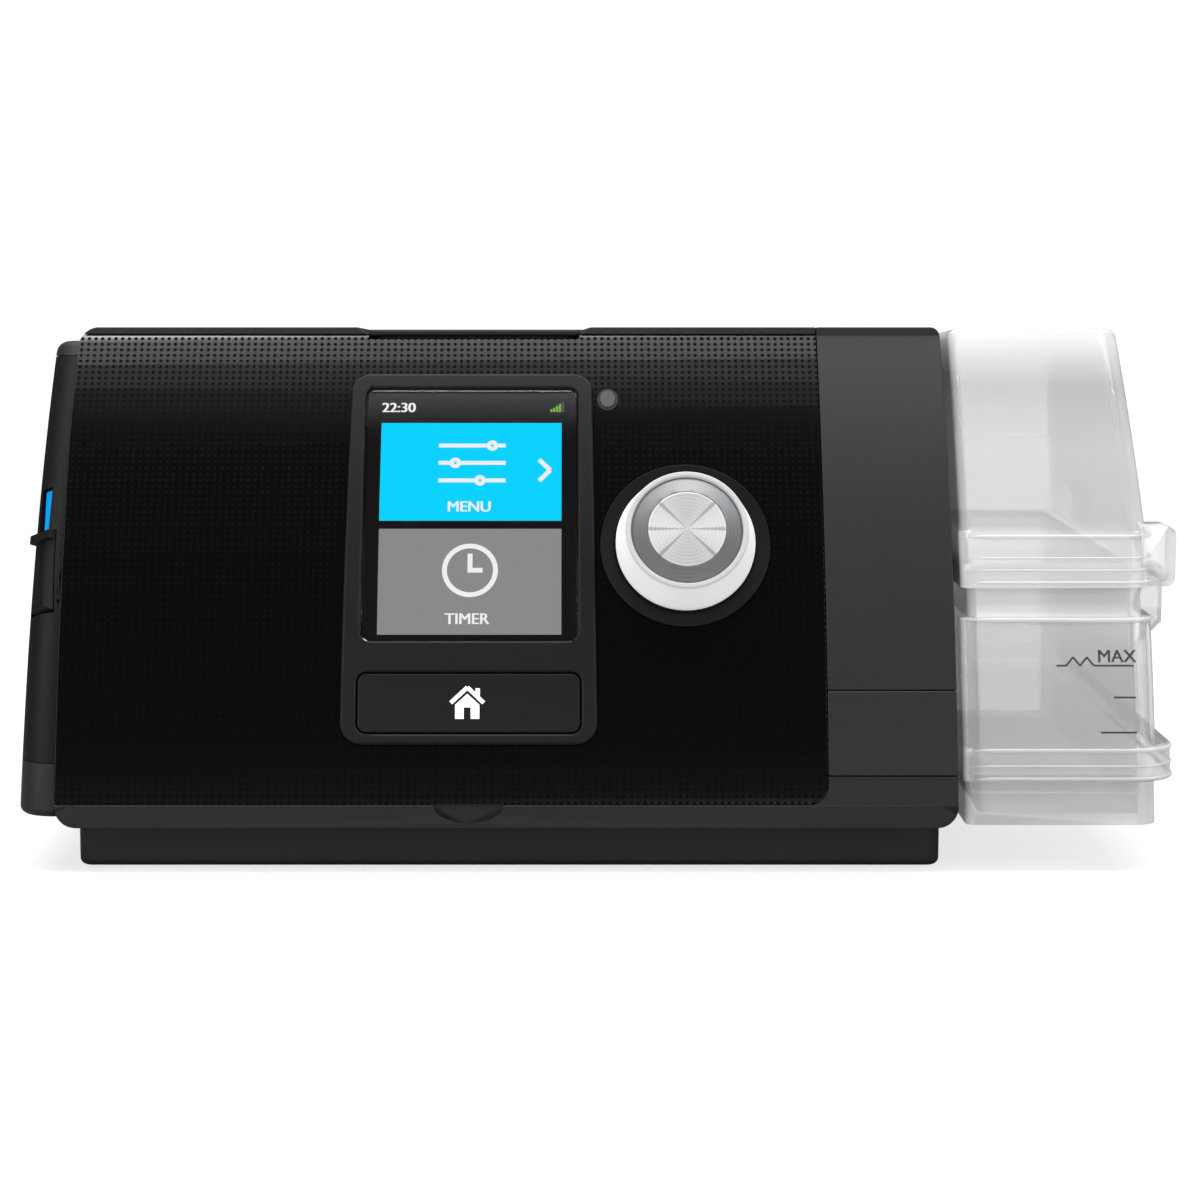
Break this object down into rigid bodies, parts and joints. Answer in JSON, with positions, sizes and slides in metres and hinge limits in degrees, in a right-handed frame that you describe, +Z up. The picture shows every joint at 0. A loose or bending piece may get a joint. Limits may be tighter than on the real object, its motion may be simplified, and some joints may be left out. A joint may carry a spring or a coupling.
{
  "type": "cpap machine",
  "caption": "Bedside CPAP machine: curved black face with colour screen, press-and-turn dial, start and home keys, and a clear heated water tub that slides in at the right.",
  "frame": {"origin": "centre of the footprint on the table", "axes": "+X towards the water tub at the right, +Y towards the rear wall with the air outlet, +Z up"},
  "size_m": [0.255, 0.15, 0.117],
  "materials": {
    "white_case": "satin off-white moulding",
    "black_gloss": "high-gloss black",
    "black_satin": "satin black",
    "grey_satin": "satin charcoal",
    "column_grey": "satin dark grey",
    "cap_grey": "satin grey",
    "card_blue": "blue moulding",
    "dark_grey": "satin dark grey, fine grain",
    "screen_glass": "polished cover glass",
    "display": "lit display",
    "dial_white": "gloss white, lit from below",
    "spun_metal": "spun and brushed",
    "clear_tub": "clear moulding, lightly frosted",
    "seal_rubber": "soft silicone",
    "foot_rubber": "matte rubber",
    "foam": "open foam",
    "filter_fibre": "fibre pad",
    "board_green": "solder mask",
    "chip_black": "moulded packages",
    "steel": "plated steel",
    "heater_metal": "bare aluminium",
    "gold_contact": "gold plating",
    "copper": "enamelled copper winding"
  },
  "bodies": {
    "root": {"base_plinth": "dark_grey", "rubber_feet": "foot_rubber", "plinth_screws": "steel", "lower_case": "grey_satin", "rear_case": "grey_satin", "top_deck": "black_satin", "front_fascia": "black_gloss", "dock_cover": "column_grey", "dock_label_panel": "column_grey", "dock_frame": "column_grey", "side_panel_left": "grey_satin", "side_cap_left": "cap_grey", "sd_socket": "steel", "screen_bezel": "black_satin", "screen_glass": "screen_glass", "lcd_module": "display", "light_sensor": "screen_glass", "dial_ring": "black_gloss", "encoder_body": "chip_black", "start_switch": "board_green", "main_board": "board_green", "board_parts": "chip_black", "board_screws": "steel", "power_board": "board_green", "power_inlet": "black_satin", "filter_pad": "filter_fibre", "blower_housing_lower": "white_case", "blower_housing_upper": "white_case", "blower_mounts": "seal_rubber", "motor_stator": "copper", "motor_bearings": "steel", "blower_duct": "seal_rubber", "port_seals": "seal_rubber", "outlet_duct": "white_case", "air_outlet": "white_case", "tube_contacts": "gold_contact", "inlet_muffler": "white_case", "muffler_foam": "foam", "heater_plate": "heater_metal", "heater_insulator": "foam"},
    "start_button": {"start_button": "black_satin"},
    "home_button": {"home_button": "black_satin"},
    "dial_press": {"dial_plunger": "white_case"},
    "dial": {"dial_skirt": "dial_white", "dial_cap": "spun_metal", "dial_disc": "spun_metal", "dial_shaft": "steel"},
    "tub": {"tub_base": "clear_tub", "tub_plate": "heater_metal", "tub_hinge_pins": "steel"},
    "tub_lid": {"tub_lid": "clear_tub", "tub_seal": "seal_rubber"},
    "filter_cover": {"filter_cover": "dark_grey"},
    "retention_clip": {"retention_clip": "dark_grey"},
    "adapter_cover": {"adapter_cover": "grey_satin"},
    "sd_door": {"sd_door": "black_satin"},
    "sd_card": {"sd_card": "card_blue"},
    "impeller": {"impeller": "white_case", "motor_shaft": "steel"}
  },
  "joints": [
    {"name": "start_button_press", "type": "slide", "parent": "root", "child": "start_button", "axis": [0, -0.0698, -0.9976], "range_m": [0, 0.0006], "stiffness_N_per_m": 400, "springref_m": -0.0005},
    {"name": "home_button_press", "type": "slide", "parent": "root", "child": "home_button", "axis": [0, 0.9575, -0.2885], "range_m": [0, 0.0008], "stiffness_N_per_m": 400, "springref_m": -0.0005},
    {"name": "dial_press", "type": "slide", "parent": "root", "child": "dial_press", "axis": [0, 0.9063, -0.4226], "range_m": [0, 0.0006], "stiffness_N_per_m": 600, "springref_m": -0.0005},
    {"name": "dial_turn", "type": "hinge", "parent": "dial_press", "child": "dial", "pos_m": [0.019, -0.05656, 0.06994], "axis": [0, -0.9063, 0.4226], "continuous": true},
    {"name": "tub_slide", "type": "slide", "parent": "root", "child": "tub", "axis": [1, 0, 0], "range_m": [0, 0.065]},
    {"name": "tub_lid_hinge", "type": "hinge", "parent": "tub", "child": "tub_lid", "pos_m": [0.1252, 0, 0.0628], "axis": [0, 1, 0], "range_deg": [0, 110]},
    {"name": "filter_cover_hinge", "type": "hinge", "parent": "root", "child": "filter_cover", "pos_m": [-0.11145, 0.07375, 0.063], "axis": [0, 0, 1], "range_deg": [0, 95]},
    {"name": "retention_clip_hinge", "type": "hinge", "parent": "root", "child": "retention_clip", "pos_m": [-0.02795, 0.07375, 0.03], "axis": [0, 0, 1], "range_deg": [0, 95]},
    {"name": "adapter_cover_slide", "type": "slide", "parent": "root", "child": "adapter_cover", "axis": [-1, 0, 0], "range_m": [0, 0.02]},
    {"name": "sd_door_hinge", "type": "hinge", "parent": "root", "child": "sd_door", "pos_m": [-0.12227, -0.05775, 0.05655], "axis": [0.7071, -0.6383, 0.3042], "range_deg": [0, 90]},
    {"name": "sd_card_press", "type": "slide", "parent": "root", "child": "sd_card", "axis": [0.7071, 0.6383, -0.3042], "range_m": [0, 0.001], "stiffness_N_per_m": 300, "springref_m": -0.0005},
    {"name": "impeller_spin", "type": "hinge", "parent": "root", "child": "impeller", "pos_m": [-0.062, 0.005, 0.035], "axis": [0, 0, 1], "continuous": true}
  ]
}
